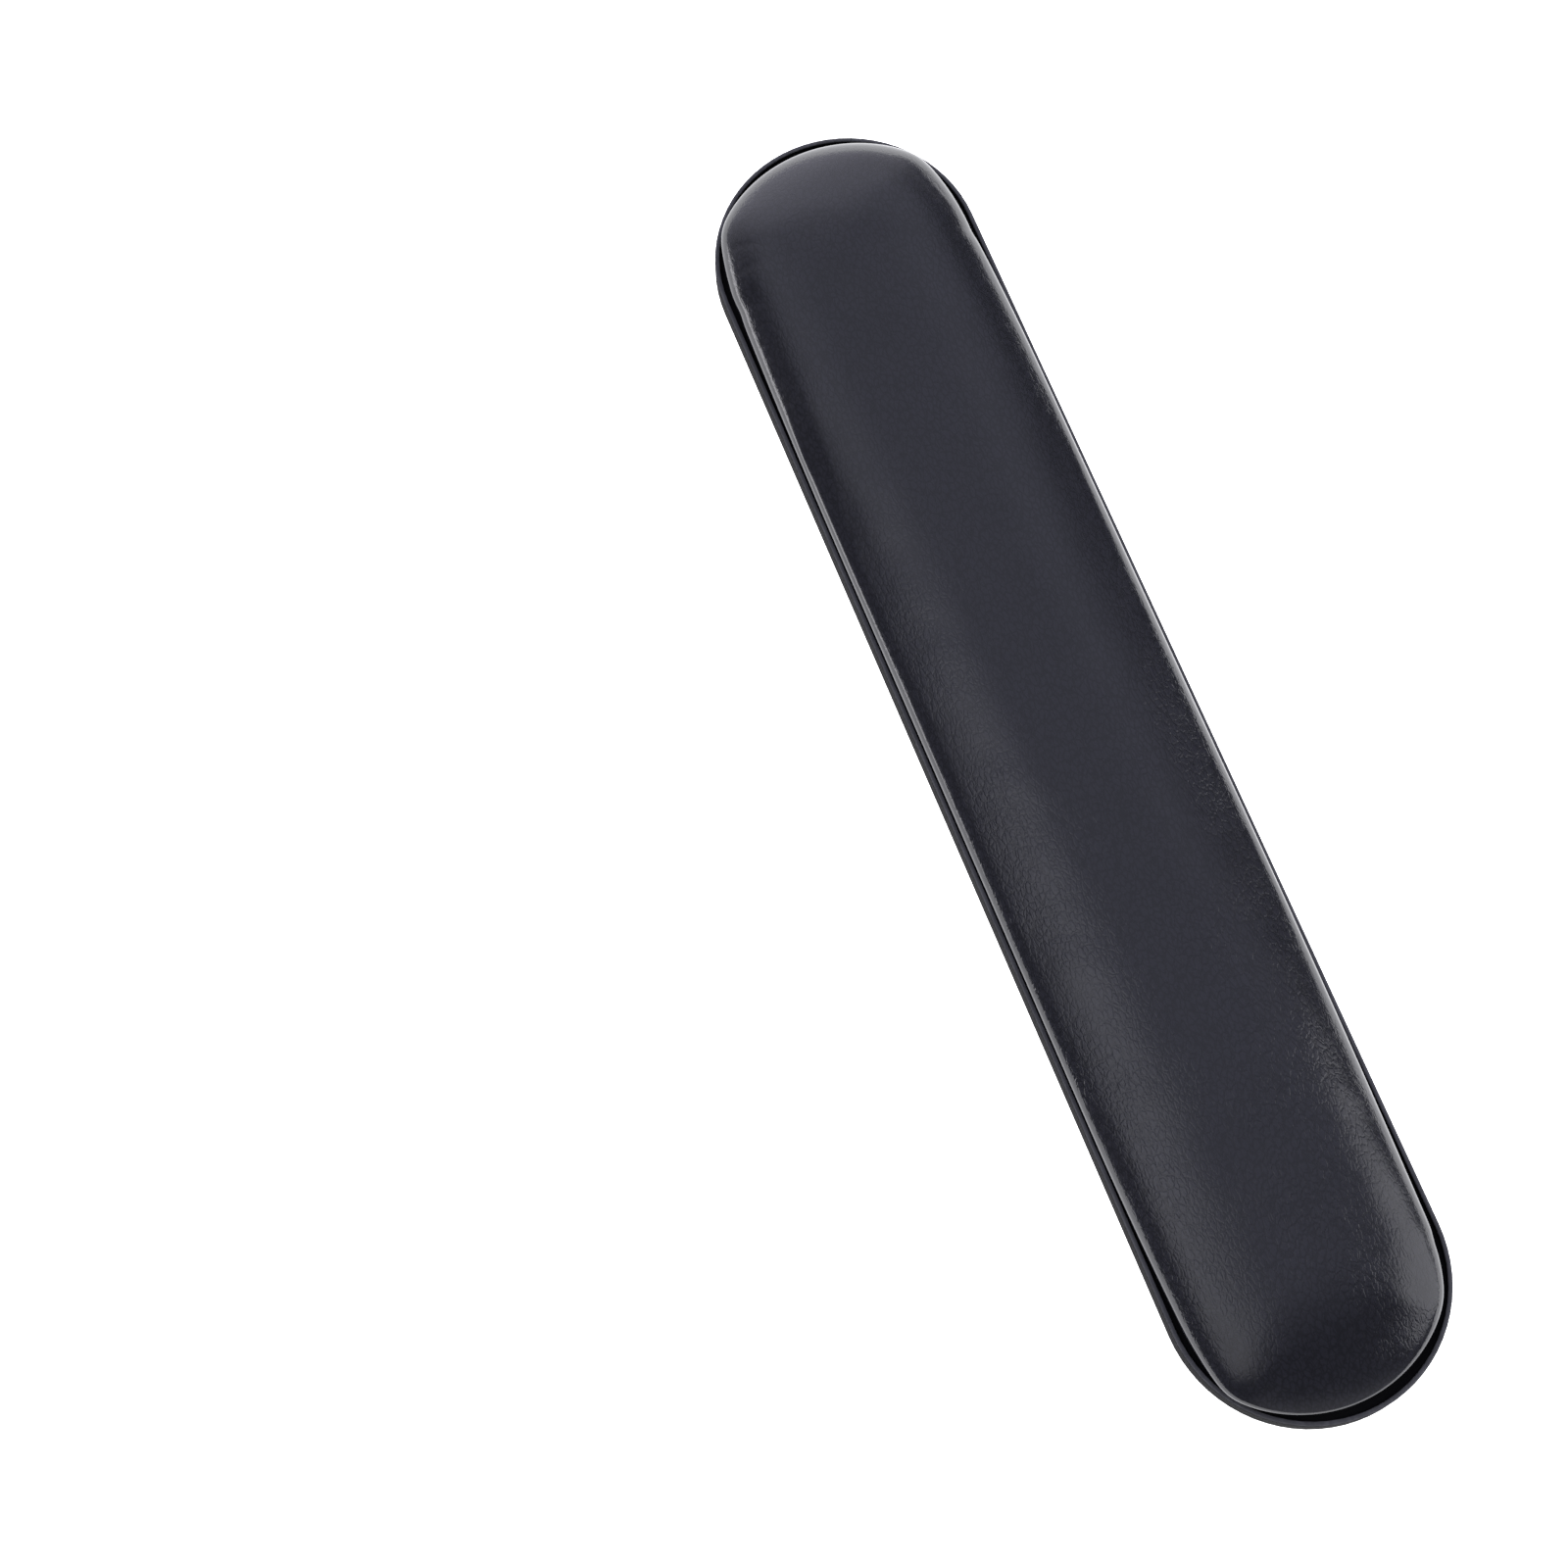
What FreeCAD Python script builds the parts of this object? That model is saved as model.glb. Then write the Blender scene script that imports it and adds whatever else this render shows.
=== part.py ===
"""Full-length chair armrest pad: an upholstered cushion screwed into a moulded tray.

The long axis is X and +X is the end nearest the sitter's hand. +Z is up, and the origin lies on
the underside, at the centre of the tray. Everything is in millimetres.

From the bottom up the pad holds a ribbed plastic tray with a raised lip, six tray screws, a cover
whose hem is turned under and stapled, a plywood cushion board that carries two tee nuts for the
chair's own M6 screws, and a foam core that wraps over the board's edge.
"""

import math
import os

import FreeCAD, Part
import Sketcher

DIMENSIONS = {
    # Tray
    "pad_length": 355.0,
    "pad_width": 69.5,
    "tray_height": 7.0,
    "lip_width": 1.2,
    "skirt_width": 2.6,
    "web_bottom": 3.0,
    "web_top": 5.0,
    "lip_outer_round": 0.7,
    "lip_inner_round": 0.3,
    "base_round": 0.8,
    "rib_width": 1.8,
    "rib_offset": 11.0,
    "rib_spacing": 28.0,
    "rib_bay_count": 10,
    "rib_end_bite": 1.0,
    # Mounting points for the chair's screws
    "mount_spacing": 254.0,
    "mount_boss_width": 20.0,
    "mount_hole_width": 9.0,
    # Tray screws
    "screw_boss_width": 11.0,
    "screw_seat_width": 8.0,
    "screw_seat_depth": 2.9,
    "screw_hole_width": 4.0,
    "screw_end_reach": 150.0,
    "screw_pair_reach": 56.0,
    "screw_head_width": 7.0,
    "screw_head_height": 2.2,
    "screw_head_round": 0.9,
    "screw_shank_width": 3.5,
    "screw_length": 8.0,
    "screw_point_length": 1.5,
    "screw_point_flat": 0.4,
    "recess_span": 4.0,
    "recess_slot": 0.9,
    "recess_depth": 1.3,
    # Cushion board
    "board_length": 339.0,
    "board_width": 56.0,
    "board_bottom": 6.0,
    "board_thickness": 5.0,
    "board_round": 1.5,
    # Tee nuts, thread M6
    "nut_flange_width": 18.0,
    "nut_flange_thickness": 1.2,
    "nut_barrel_width": 7.7,
    "nut_barrel_length": 8.0,
    "nut_barrel_chamfer": 0.5,
    "nut_board_clearance": 0.05,
    "thread_core_width": 5.0,
    "prong_reach": 7.0,
    "prong_width": 2.4,
    "prong_thickness": 1.2,
    "prong_length": 3.6,
    # Foam recesses over the tee nuts
    "foam_flange_gap": 0.5,
    "foam_tip_width": 8.0,
    "foam_tip_depth": 4.5,
    # Cover and staples
    "skin_thickness": 1.0,
    "hem_width": 13.0,
    "staple_crown": 10.0,
    "staple_wire_width": 0.9,
    "staple_wire_depth": 0.6,
    "staple_leg": 5.0,
    "staple_inset": 7.5,
    "staple_side_spacing": 36.0,
}

# Level: height above the underside, width, length, then how far the cover's lining face lies from
# its outer face there, inwards and upwards, in thicknesses of the cover. Each level is a stadium,
# and the cushion is ruled from one to the next.
CUSHION_LEVELS = {
    "hem": (5.0, 64.0, 347.6, 1.0, 1.0),
    "lip": (7.0, 66.0, 349.6, 1.0, 0.0),
    "bulge": (9.6, 66.8, 350.4, 1.0, 0.0),
    "shoulder": (11.8, 66.0, 348.4, 0.95, -0.364),
    "turn": (13.1, 64.4, 345.2, 0.79, -0.624),
    "slope": (14.9, 60.8, 339.6, 0.584, -0.83),
    "brow": (16.7, 53.2, 331.4, 0.329, -0.951),
    "top": (18.2, 40.0, 321.6, 0.181, -0.984),
    "crown": (20.0, 16.0, 290.0, 0.07, -1.0),
}

STAPLES_PER_SIDE = 8
STAPLES_PER_END = 5
PRONG_COUNT = 4
DOWN = -1
UP = 1
SAME_HEIGHT = 1e-4
SAME_PLACE = 1e-3

doc = FreeCAD.newDocument("armrest_pad")


def fill_sheet():
    """Writes the driving dimensions into the document's spreadsheet, one aliased row each."""
    sheet = doc.addObject("Spreadsheet::Sheet", "Sheet")
    rows = dict(DIMENSIONS)
    for level, (height, width, length, inward, upward) in CUSHION_LEVELS.items():
        rows[f"{level}_level_height"] = height
        rows[f"{level}_level_width"] = width
        rows[f"{level}_level_length"] = length
        rows[f"{level}_lining_inward"] = inward
        rows[f"{level}_lining_upward"] = upward
    for row, (alias, value) in enumerate(rows.items(), start=1):
        sheet.set(f"A{row}", alias)
        sheet.set(f"B{row}", str(value))
        sheet.setAlias(f"B{row}", alias)
    doc.recompute()
    return sheet


sheet = fill_sheet()


def size(alias):
    """The value of one driving dimension."""
    return float(sheet.get(alias))


def new_body(label):
    body = doc.addObject("PartDesign::Body", label)
    body.Label = label
    return body


def base_plane(body, role="XY_Plane"):
    return next(f for f in body.Origin.OriginFeatures if f.Role == role)


def new_sketch(body, name, height="0", role="XY_Plane"):
    """A sketch on one of the body's own planes, lifted off it by the expression height."""
    sketch = body.newObject("Sketcher::SketchObject", name)
    sketch.AttachmentSupport = [(base_plane(body, role), "")]
    sketch.MapMode = "FlatFace"
    sketch.setExpression("AttachmentOffset.Base.z", height)
    return sketch


def bind(sketch, constraint, expression):
    index = sketch.addConstraint(constraint)
    sketch.setExpression(f"Constraints[{index}]", expression)


def stadium_sketch(body, name, height, length, width):
    """A stadium about the origin: two straight sides joined by two half circles."""
    sketch = new_sketch(body, name, height)
    up = FreeCAD.Vector(0, 0, 1)
    # The sketch starts at a rough size, and its constraints then bring it to the right one.
    reach, radius = 40.0, 10.0
    right, left = FreeCAD.Vector(reach, 0, 0), FreeCAD.Vector(-reach, 0, 0)
    corner = {
        (x, y): FreeCAD.Vector(x * reach, y * radius, 0) for x in (-1, 1) for y in (-1, 1)
    }
    quarter = math.pi / 2
    sketch.addGeometry(
        [
            Part.LineSegment(corner[-1, 1], corner[1, 1]),
            Part.ArcOfCircle(Part.Circle(right, up, radius), -quarter, quarter),
            Part.LineSegment(corner[1, -1], corner[-1, -1]),
            Part.ArcOfCircle(Part.Circle(left, up, radius), quarter, 3 * quarter),
        ],
        False,
    )
    for first, first_end, second, second_end in ((0, 2, 1, 2), (1, 1, 2, 1), (2, 2, 3, 2), (3, 1, 0, 1)):
        sketch.addConstraint(Sketcher.Constraint("Tangent", first, first_end, second, second_end))
    sketch.addConstraint(Sketcher.Constraint("Equal", 1, 3))
    sketch.addConstraint(Sketcher.Constraint("PointOnObject", 1, 3, -1))
    sketch.addConstraint(Sketcher.Constraint("Symmetric", 1, 3, 3, 3, -1, 1))
    bind(sketch, Sketcher.Constraint("Radius", 1, radius), f"({width}) / 2")
    bind(sketch, Sketcher.Constraint("DistanceX", 3, 3, 1, 3, 2 * reach), f"({length}) - ({width})")
    return sketch


def circle_sketch(body, name, height, circles):
    """Circles, each given by expressions for its centre's x, its centre's y and its width."""
    sketch = new_sketch(body, name, height)
    for x, y, width in circles:
        circle = Part.Circle(FreeCAD.Vector(1, 1, 0), FreeCAD.Vector(0, 0, 1), 1)
        index = sketch.addGeometry(circle, False)
        bind(sketch, Sketcher.Constraint("DistanceX", -1, 1, index, 3, 1), x)
        bind(sketch, Sketcher.Constraint("DistanceY", -1, 1, index, 3, 1), y)
        bind(sketch, Sketcher.Constraint("Diameter", index, 2), width)
    return sketch


def rectangle_sketch(body, name, height, boxes):
    """Rectangles, each given by expressions for its centre's x and y and its sizes along x and y."""
    sketch = new_sketch(body, name, height)
    for x, y, along_x, along_y in boxes:
        points = [FreeCAD.Vector(a, b, 0) for a, b in ((1, 1), (2, 1), (2, 2), (1, 2))]
        first = len(sketch.Geometry)
        for start, end in zip(points, points[1:] + points[:1]):
            sketch.addGeometry(Part.LineSegment(start, end), False)
        for side in range(4):
            joined = first + (side + 1) % 4
            sketch.addConstraint(Sketcher.Constraint("Coincident", first + side, 2, joined, 1))
        for side, way in enumerate(("Horizontal", "Vertical", "Horizontal", "Vertical")):
            sketch.addConstraint(Sketcher.Constraint(way, first + side))
        bind(sketch, Sketcher.Constraint("DistanceX", first, 1, first, 2, 1), along_x)
        bind(sketch, Sketcher.Constraint("DistanceY", first + 1, 1, first + 1, 2, 1), along_y)
        corner_x = Sketcher.Constraint("DistanceX", -1, 1, first, 1, 1)
        corner_y = Sketcher.Constraint("DistanceY", -1, 1, first, 1, 1)
        bind(sketch, corner_x, f"({x}) - ({along_x}) / 2")
        bind(sketch, corner_y, f"({y}) - ({along_y}) / 2")
    return sketch


def pad(body, name, sketch, length, way=UP):
    feature = body.newObject("PartDesign::Pad", name)
    feature.Profile = sketch
    feature.setExpression("Length", length)
    feature.Reversed = way == DOWN
    return feature


def pocket(body, name, sketch, length, way=UP):
    """Cuts upwards or downwards from the sketch, and checks that the cut took something away."""
    doc.recompute()
    before = body.Shape.Volume
    feature = body.newObject("PartDesign::Pocket", name)
    feature.Profile = sketch
    feature.setExpression("Length", length)
    feature.Reversed = way == UP
    doc.recompute()
    if body.Shape.Volume >= before:
        raise RuntimeError(f"{name} cuts nothing from {body.Label}")
    return feature


def dress_edges(body, kind, name, edges_wanted):
    """Adds a fillet or a chamfer along the edges of the body that the test picks out."""
    doc.recompute()
    found = [f"Edge{n}" for n, e in enumerate(body.Shape.Edges, start=1) if edges_wanted(e)]
    if not found:
        raise RuntimeError(f"{name} finds no edge on {body.Label}")
    dressed = body.Tip
    feature = body.newObject(kind, name)
    feature.Base = (dressed, found)
    return feature


def round_edges(body, name, edges_wanted, radius):
    feature = dress_edges(body, "PartDesign::Fillet", name, edges_wanted)
    feature.setExpression("Radius", radius)
    doc.recompute()
    return feature


def at_height(edge, height):
    box = edge.BoundBox
    return abs(box.ZMin - height) < SAME_HEIGHT and abs(box.ZMax - height) < SAME_HEIGHT


def on_stadium(edge, length, width):
    """True if the edge lies along a stadium of that length and width about the origin."""
    radius, reach = width / 2, (length - width) / 2
    for step in (0.0, 0.5, 1.0):
        point = edge.valueAt(edge.FirstParameter + step * (edge.LastParameter - edge.FirstParameter))
        past = max(abs(point.x) - reach, 0.0)
        if abs(math.hypot(past, point.y) - radius) > SAME_PLACE:
            return False
    return True


MOUNT_X = ("Sheet.mount_spacing / 2", "-Sheet.mount_spacing / 2")
TRAY_SCREWS = {
    "tray_screw_front_end": ("Sheet.screw_end_reach", "0"),
    "tray_screw_front_left": ("Sheet.screw_pair_reach", "Sheet.rib_offset"),
    "tray_screw_front_right": ("Sheet.screw_pair_reach", "-Sheet.rib_offset"),
    "tray_screw_rear_left": ("-Sheet.screw_pair_reach", "Sheet.rib_offset"),
    "tray_screw_rear_right": ("-Sheet.screw_pair_reach", "-Sheet.rib_offset"),
    "tray_screw_rear_end": ("-Sheet.screw_end_reach", "0"),
}


def base_tray():
    """The moulded tray: a skirt and ribs below a web, and a lip above it that holds the cushion."""
    body = new_body("base_tray")
    outline = stadium_sketch(body, "tray_outline", "0", "Sheet.pad_length", "Sheet.pad_width")
    pad(body, "tray_block", outline, "Sheet.tray_height")
    seat = stadium_sketch(
        body,
        "seat_outline",
        "Sheet.tray_height",
        "Sheet.pad_length - 2 * Sheet.lip_width",
        "Sheet.pad_width - 2 * Sheet.lip_width",
    )
    pocket(body, "seat", seat, "Sheet.tray_height - Sheet.web_top", DOWN)
    hollow = stadium_sketch(
        body,
        "hollow_outline",
        "0",
        "Sheet.pad_length - 2 * Sheet.skirt_width",
        "Sheet.pad_width - 2 * Sheet.skirt_width",
    )
    pocket(body, "hollow", hollow, "Sheet.web_bottom", UP)

    inner_width = "(Sheet.pad_width - 2 * Sheet.skirt_width + Sheet.rib_end_bite)"
    cross_x = "-Sheet.rib_spacing * Sheet.rib_bay_count / 2"
    cross = rectangle_sketch(
        body, "cross_rib_outline", "0", [(cross_x, "0", "Sheet.rib_width", inner_width)]
    )
    cross_rib = pad(body, "cross_rib", cross, "Sheet.web_bottom")
    ribs = body.newObject("PartDesign::LinearPattern", "cross_ribs")
    ribs.Originals = [cross_rib]
    ribs.Direction = (cross, ["H_Axis"])
    ribs.setExpression("Length", "Sheet.rib_spacing * Sheet.rib_bay_count")
    ribs.setExpression("Occurrences", "Sheet.rib_bay_count + 1")
    body.Tip = ribs
    inner_length = "(Sheet.pad_length - 2 * Sheet.skirt_width - 2 * Sheet.rib_end_bite)"
    long_ribs = rectangle_sketch(
        body,
        "long_rib_outline",
        "0",
        [("0", f"{way}Sheet.rib_offset", inner_length, "Sheet.rib_width") for way in ("", "-")],
    )
    pad(body, "long_ribs", long_ribs, "Sheet.web_bottom")

    mount_bosses = [(x, "0", "Sheet.mount_boss_width") for x in MOUNT_X]
    bosses = circle_sketch(body, "mount_boss_outline", "0", mount_bosses)
    pad(body, "mount_bosses", bosses, "Sheet.board_bottom")
    screw_bosses = [(x, y, "Sheet.screw_boss_width") for x, y in TRAY_SCREWS.values()]
    bosses = circle_sketch(body, "screw_boss_outline", "0", screw_bosses)
    pad(body, "screw_bosses", bosses, "Sheet.board_bottom")

    through = "Sheet.tray_height"
    mount_holes = [(x, "0", "Sheet.mount_hole_width") for x in MOUNT_X]
    holes = circle_sketch(body, "mount_hole_outline", "0", mount_holes)
    pocket(body, "mount_holes", holes, through, UP)
    screw_holes = [(x, y, "Sheet.screw_hole_width") for x, y in TRAY_SCREWS.values()]
    holes = circle_sketch(body, "screw_hole_outline", "0", screw_holes)
    pocket(body, "screw_holes", holes, through, UP)
    screw_seats = [(x, y, "Sheet.screw_seat_width") for x, y in TRAY_SCREWS.values()]
    seats = circle_sketch(body, "screw_seat_outline", "0", screw_seats)
    pocket(body, "screw_seats", seats, "Sheet.screw_seat_depth", UP)

    length, width, lip = size("pad_length"), size("pad_width"), size("lip_width")
    top = size("tray_height")
    round_edges(
        body,
        "lip_outer_edge",
        lambda e: at_height(e, top) and on_stadium(e, length, width),
        "Sheet.lip_outer_round",
    )
    round_edges(
        body,
        "lip_inner_edge",
        lambda e: at_height(e, top) and on_stadium(e, length - 2 * lip, width - 2 * lip),
        "Sheet.lip_inner_round",
    )
    round_edges(
        body,
        "base_edge",
        lambda e: at_height(e, 0) and on_stadium(e, length, width),
        "Sheet.base_round",
    )
    return body


def tray_screw(label, x, y):
    """A pan-head tapping screw, head down, with a cross recess."""
    body = new_body(label)
    head_bottom = "(Sheet.screw_seat_depth - Sheet.screw_head_height)"
    head = circle_sketch(body, f"{label}_head_outline", head_bottom, [("0", "0", "Sheet.screw_head_width")])
    pad(body, f"{label}_head", head, "Sheet.screw_head_height")
    bottom = size("screw_seat_depth") - size("screw_head_height")
    round_edges(body, f"{label}_head_round", lambda e: at_height(e, bottom), "Sheet.screw_head_round")
    span, slot = "Sheet.recess_span", "Sheet.recess_slot"
    recess = rectangle_sketch(body, f"{label}_recess_outline", head_bottom, [("0", "0", span, slot)])
    pocket(body, f"{label}_recess", recess, "Sheet.recess_depth", UP)
    crossing = rectangle_sketch(body, f"{label}_crossing_outline", head_bottom, [("0", "0", slot, span)])
    pocket(body, f"{label}_crossing", crossing, "Sheet.recess_depth", UP)
    shank = circle_sketch(
        body, f"{label}_shank_outline", "Sheet.screw_seat_depth", [("0", "0", "Sheet.screw_shank_width")]
    )
    pad(body, f"{label}_shank", shank, "Sheet.screw_length")
    tip = size("screw_seat_depth") + size("screw_length")
    point = dress_edges(body, "PartDesign::Chamfer", f"{label}_point", lambda e: at_height(e, tip))
    point.ChamferType = "Two distances"
    point.setExpression("Size", "(Sheet.screw_shank_width - Sheet.screw_point_flat) / 2")
    point.setExpression("Size2", "Sheet.screw_point_length")
    body.setExpression("Placement.Base.x", x)
    body.setExpression("Placement.Base.y", y)
    return body


def tee_nut(label, x):
    """A pronged tee nut: its flange lies on the board and its barrel reaches into the tray."""
    body = new_body(label)
    seat = "(Sheet.board_bottom + Sheet.board_thickness)"
    flange = circle_sketch(body, f"{label}_flange_outline", seat, [("0", "0", "Sheet.nut_flange_width")])
    pad(body, f"{label}_flange", flange, "Sheet.nut_flange_thickness")
    barrel = circle_sketch(body, f"{label}_barrel_outline", seat, [("0", "0", "Sheet.nut_barrel_width")])
    pad(body, f"{label}_barrel", barrel, "Sheet.nut_barrel_length", DOWN)
    prong = rectangle_sketch(
        body,
        f"{label}_prong_outline",
        seat,
        [("Sheet.prong_reach", "0", "Sheet.prong_thickness", "Sheet.prong_width")],
    )
    one = pad(body, f"{label}_prong", prong, "Sheet.prong_length", DOWN)
    doc.recompute()
    ring = body.newObject("PartDesign::PolarPattern", f"{label}_prongs")
    ring.Originals = [one]
    ring.Axis = (prong, ["N_Axis"])
    ring.Angle = 360
    ring.Occurrences = PRONG_COUNT
    body.Tip = ring
    thread = circle_sketch(
        body,
        f"{label}_thread_outline",
        f"{seat} + Sheet.nut_flange_thickness",
        [("0", "0", "Sheet.thread_core_width")],
    )
    whole = "Sheet.nut_barrel_length + Sheet.nut_flange_thickness"
    pocket(body, f"{label}_thread", thread, whole, DOWN)
    foot = size("board_bottom") + size("board_thickness") - size("nut_barrel_length")
    barrel_width = size("nut_barrel_width")
    chamfer = dress_edges(
        body,
        "PartDesign::Chamfer",
        f"{label}_chamfer",
        lambda e: at_height(e, foot) and abs(e.BoundBox.XLength - barrel_width) < SAME_PLACE,
    )
    chamfer.setExpression("Size", "Sheet.nut_barrel_chamfer")
    body.setExpression("Placement.Base.x", x)
    return body


def cushion_loft(body, name, depth, kind="PartDesign::AdditiveLoft"):
    """The cushion's form, ruled through its levels, at that depth inside the cover's outer face."""
    profiles = []
    for level in CUSHION_LEVELS:
        inward = f"2 * ({depth}) * Sheet.{level}_lining_inward"
        profiles.append(
            stadium_sketch(
                body,
                f"{name}_{level}",
                f"Sheet.{level}_level_height + ({depth}) * Sheet.{level}_lining_upward",
                f"Sheet.{level}_level_length - {inward}",
                f"Sheet.{level}_level_width - {inward}",
            )
        )
    doc.recompute()
    loft = body.newObject(kind, name)
    loft.Profile = profiles[0]
    loft.Sections = profiles[1:]
    loft.Ruled = True
    return loft


def staple_places():
    """Where each staple sits and which way its crown lies: (x, y, turn in degrees)."""
    inset = size("staple_inset")
    across = size("hem_level_width") / 2 - inset
    reach = (size("hem_level_length") - size("hem_level_width")) / 2
    first = -size("staple_side_spacing") * (STAPLES_PER_SIDE - 1) / 2
    along = [first + n * size("staple_side_spacing") for n in range(STAPLES_PER_SIDE)]
    step = 180.0 / STAPLES_PER_END
    turns = [-90 + step * (n + 0.5) for n in range(STAPLES_PER_END)]
    ring = [(across * math.cos(math.radians(a)), across * math.sin(math.radians(a)), a) for a in turns]
    return [
        *((x, across, 0) for x in along),
        *((x, -across, 0) for x in along),
        *((reach + x, y, a + 90) for x, y, a in ring),
        *((-reach - x, y, 90 - a) for x, y, a in ring),
    ]


def staple(label, x, y, turn):
    """One staple: a crown sunk into the hem's lower face, and two legs up into the board."""
    boxes = []
    crown, leg = "Sheet.staple_crown", "Sheet.staple_leg"
    wire, depth = "Sheet.staple_wire_width", "Sheet.staple_wire_depth"
    for part, along, tall, start in (
        ("crown", crown, depth, f"-{crown} / 2"),
        ("leg_a", depth, leg, f"-{crown} / 2"),
        ("leg_b", depth, leg, f"{crown} / 2 - {depth}"),
    ):
        box = doc.addObject("Part::Box", f"{label}_{part}")
        box.setExpression("Length", along)
        box.setExpression("Width", wire)
        box.setExpression("Height", tall)
        box.setExpression("Placement.Base.x", start)
        box.setExpression("Placement.Base.y", f"-{wire} / 2")
        boxes.append(box)
    whole = doc.addObject("Part::MultiFuse", label)
    whole.Shapes = boxes
    whole.Refine = True
    whole.Placement = FreeCAD.Placement(
        FreeCAD.Vector(x, y, size("hem_level_height")),
        FreeCAD.Rotation(FreeCAD.Vector(0, 0, 1), turn),
    )
    return whole


def together(label, pieces):
    """One sub-part made of several alike pieces, which stay separate solids."""
    group = doc.addObject("Part::Compound", label)
    group.Label = label
    group.Links = pieces
    return group


def cut_for(label, body, piercings):
    """The body with room made for the fasteners that pierce it."""
    result = doc.addObject("Part::Cut", label)
    result.Base = body
    result.Tool = together(f"{label}_piercings", piercings)
    result.Label = label
    return result


def cushion_board(piercings):
    """The plywood board, bored for the tee nuts and pierced by prongs, screws and staples."""
    body = new_body("board_blank")
    outline = stadium_sketch(
        body, "board_outline", "Sheet.board_bottom", "Sheet.board_length", "Sheet.board_width"
    )
    pad(body, "board_block", outline, "Sheet.board_thickness")
    top = size("board_bottom") + size("board_thickness")
    round_edges(body, "board_edge", lambda e: at_height(e, top), "Sheet.board_round")
    bore = "Sheet.nut_barrel_width + 2 * Sheet.nut_board_clearance"
    holes = circle_sketch(body, "nut_bore_outline", "Sheet.board_bottom", [(x, "0", bore) for x in MOUNT_X])
    pocket(body, "nut_bores", holes, "Sheet.board_thickness", UP)
    return cut_for("cushion_board", body, piercings)


def foam_core():
    """The foam, hollowed below for the board and relieved over each tee nut."""
    body = new_body("foam_core")
    cushion_loft(body, "foam_form", "Sheet.skin_thickness")
    board = stadium_sketch(
        body, "foam_board_outline", "Sheet.board_bottom", "Sheet.board_length", "Sheet.board_width"
    )
    pocket(body, "board_hollow", board, "Sheet.board_thickness", UP)
    seat = "(Sheet.board_bottom + Sheet.board_thickness)"
    flange = "Sheet.nut_flange_width + 2 * Sheet.foam_flange_gap"
    flanges = circle_sketch(body, "foam_flange_outline", seat, [(x, "0", flange) for x in MOUNT_X])
    pocket(body, "flange_hollows", flanges, "Sheet.nut_flange_thickness", UP)
    tips = [(x, "0", "Sheet.foam_tip_width") for x in MOUNT_X]
    tip_room = circle_sketch(body, "foam_tip_outline", seat, tips)
    pocket(body, "tip_hollows", tip_room, "Sheet.nut_flange_thickness + Sheet.foam_tip_depth", UP)
    return body


def cover(piercings):
    """The cover: one skin over the foam, turned under the board and open in the middle below."""
    body = new_body("cover_blank")
    cushion_loft(body, "cover_form", "0")
    cushion_loft(body, "cover_hollow", "Sheet.skin_thickness", "PartDesign::SubtractiveLoft")
    opening = stadium_sketch(
        body,
        "hem_opening_outline",
        "Sheet.hem_level_height",
        "Sheet.hem_level_length - 2 * Sheet.hem_width",
        "Sheet.hem_level_width - 2 * Sheet.hem_width",
    )
    pocket(body, "hem_opening", opening, "Sheet.skin_thickness", UP)
    return cut_for("cover", body, piercings)


def check_and_write(subparts):
    """Stops on any failed object or bad shape, and then writes each sub-part as its own file."""
    doc.recompute()
    for item in doc.Objects:
        if "Invalid" in item.State or "Error" in item.State:
            raise RuntimeError(f"{item.Name} has failed: {item.State}")
    for item in subparts:
        shape = item.Shape
        if shape.isNull() or not shape.isValid() or not shape.Solids:
            raise RuntimeError(f"{item.Label} has no valid solid")
    os.makedirs("parts", exist_ok=True)
    for item in subparts:
        item.Shape.exportStep(f"parts/{item.Label}.step")
        print(f"{item.Label}: {len(item.Shape.Solids)} solids, {item.Shape.Volume:.1f} mm3")


def main():
    nuts = [tee_nut(label, x) for label, x in zip(("tee_nut_front", "tee_nut_rear"), MOUNT_X)]
    screws = together("tray_screws", [tray_screw(label, *at) for label, at in TRAY_SCREWS.items()])
    places = enumerate(staple_places(), start=1)
    staples = together("hem_staples", [staple(f"staple_{n}", *place) for n, place in places])
    board = cushion_board([*nuts, screws, staples])
    skin = cover([staples])
    check_and_write([base_tray(), board, foam_core(), skin, *nuts, screws, staples])


main()
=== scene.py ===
"""Looks for a full-length chair armrest pad: a vinyl-covered foam cushion in a moulded tray.

Everything is in the part's own frame: X along the pad, Y across it and Z up from its underside.
+X is the near end. Shapes are worked out in millimetres and put into their meshes in metres.
"""

import bpy
import numpy as np
from mathutils import Matrix, Vector


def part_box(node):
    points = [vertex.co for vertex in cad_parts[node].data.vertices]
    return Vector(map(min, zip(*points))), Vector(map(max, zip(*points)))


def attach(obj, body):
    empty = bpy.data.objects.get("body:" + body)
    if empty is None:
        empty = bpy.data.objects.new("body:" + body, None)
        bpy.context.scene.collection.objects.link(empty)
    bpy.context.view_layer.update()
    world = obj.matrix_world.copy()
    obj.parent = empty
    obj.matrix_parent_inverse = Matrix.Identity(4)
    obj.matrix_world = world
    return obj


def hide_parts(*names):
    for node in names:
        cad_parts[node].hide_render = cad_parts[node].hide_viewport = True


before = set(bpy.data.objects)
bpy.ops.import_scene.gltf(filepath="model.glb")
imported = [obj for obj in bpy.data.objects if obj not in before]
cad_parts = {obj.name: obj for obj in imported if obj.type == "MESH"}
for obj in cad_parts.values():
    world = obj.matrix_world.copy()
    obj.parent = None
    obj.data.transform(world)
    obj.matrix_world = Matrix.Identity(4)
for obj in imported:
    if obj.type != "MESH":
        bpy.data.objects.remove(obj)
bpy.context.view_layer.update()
MM = 0.001

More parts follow.
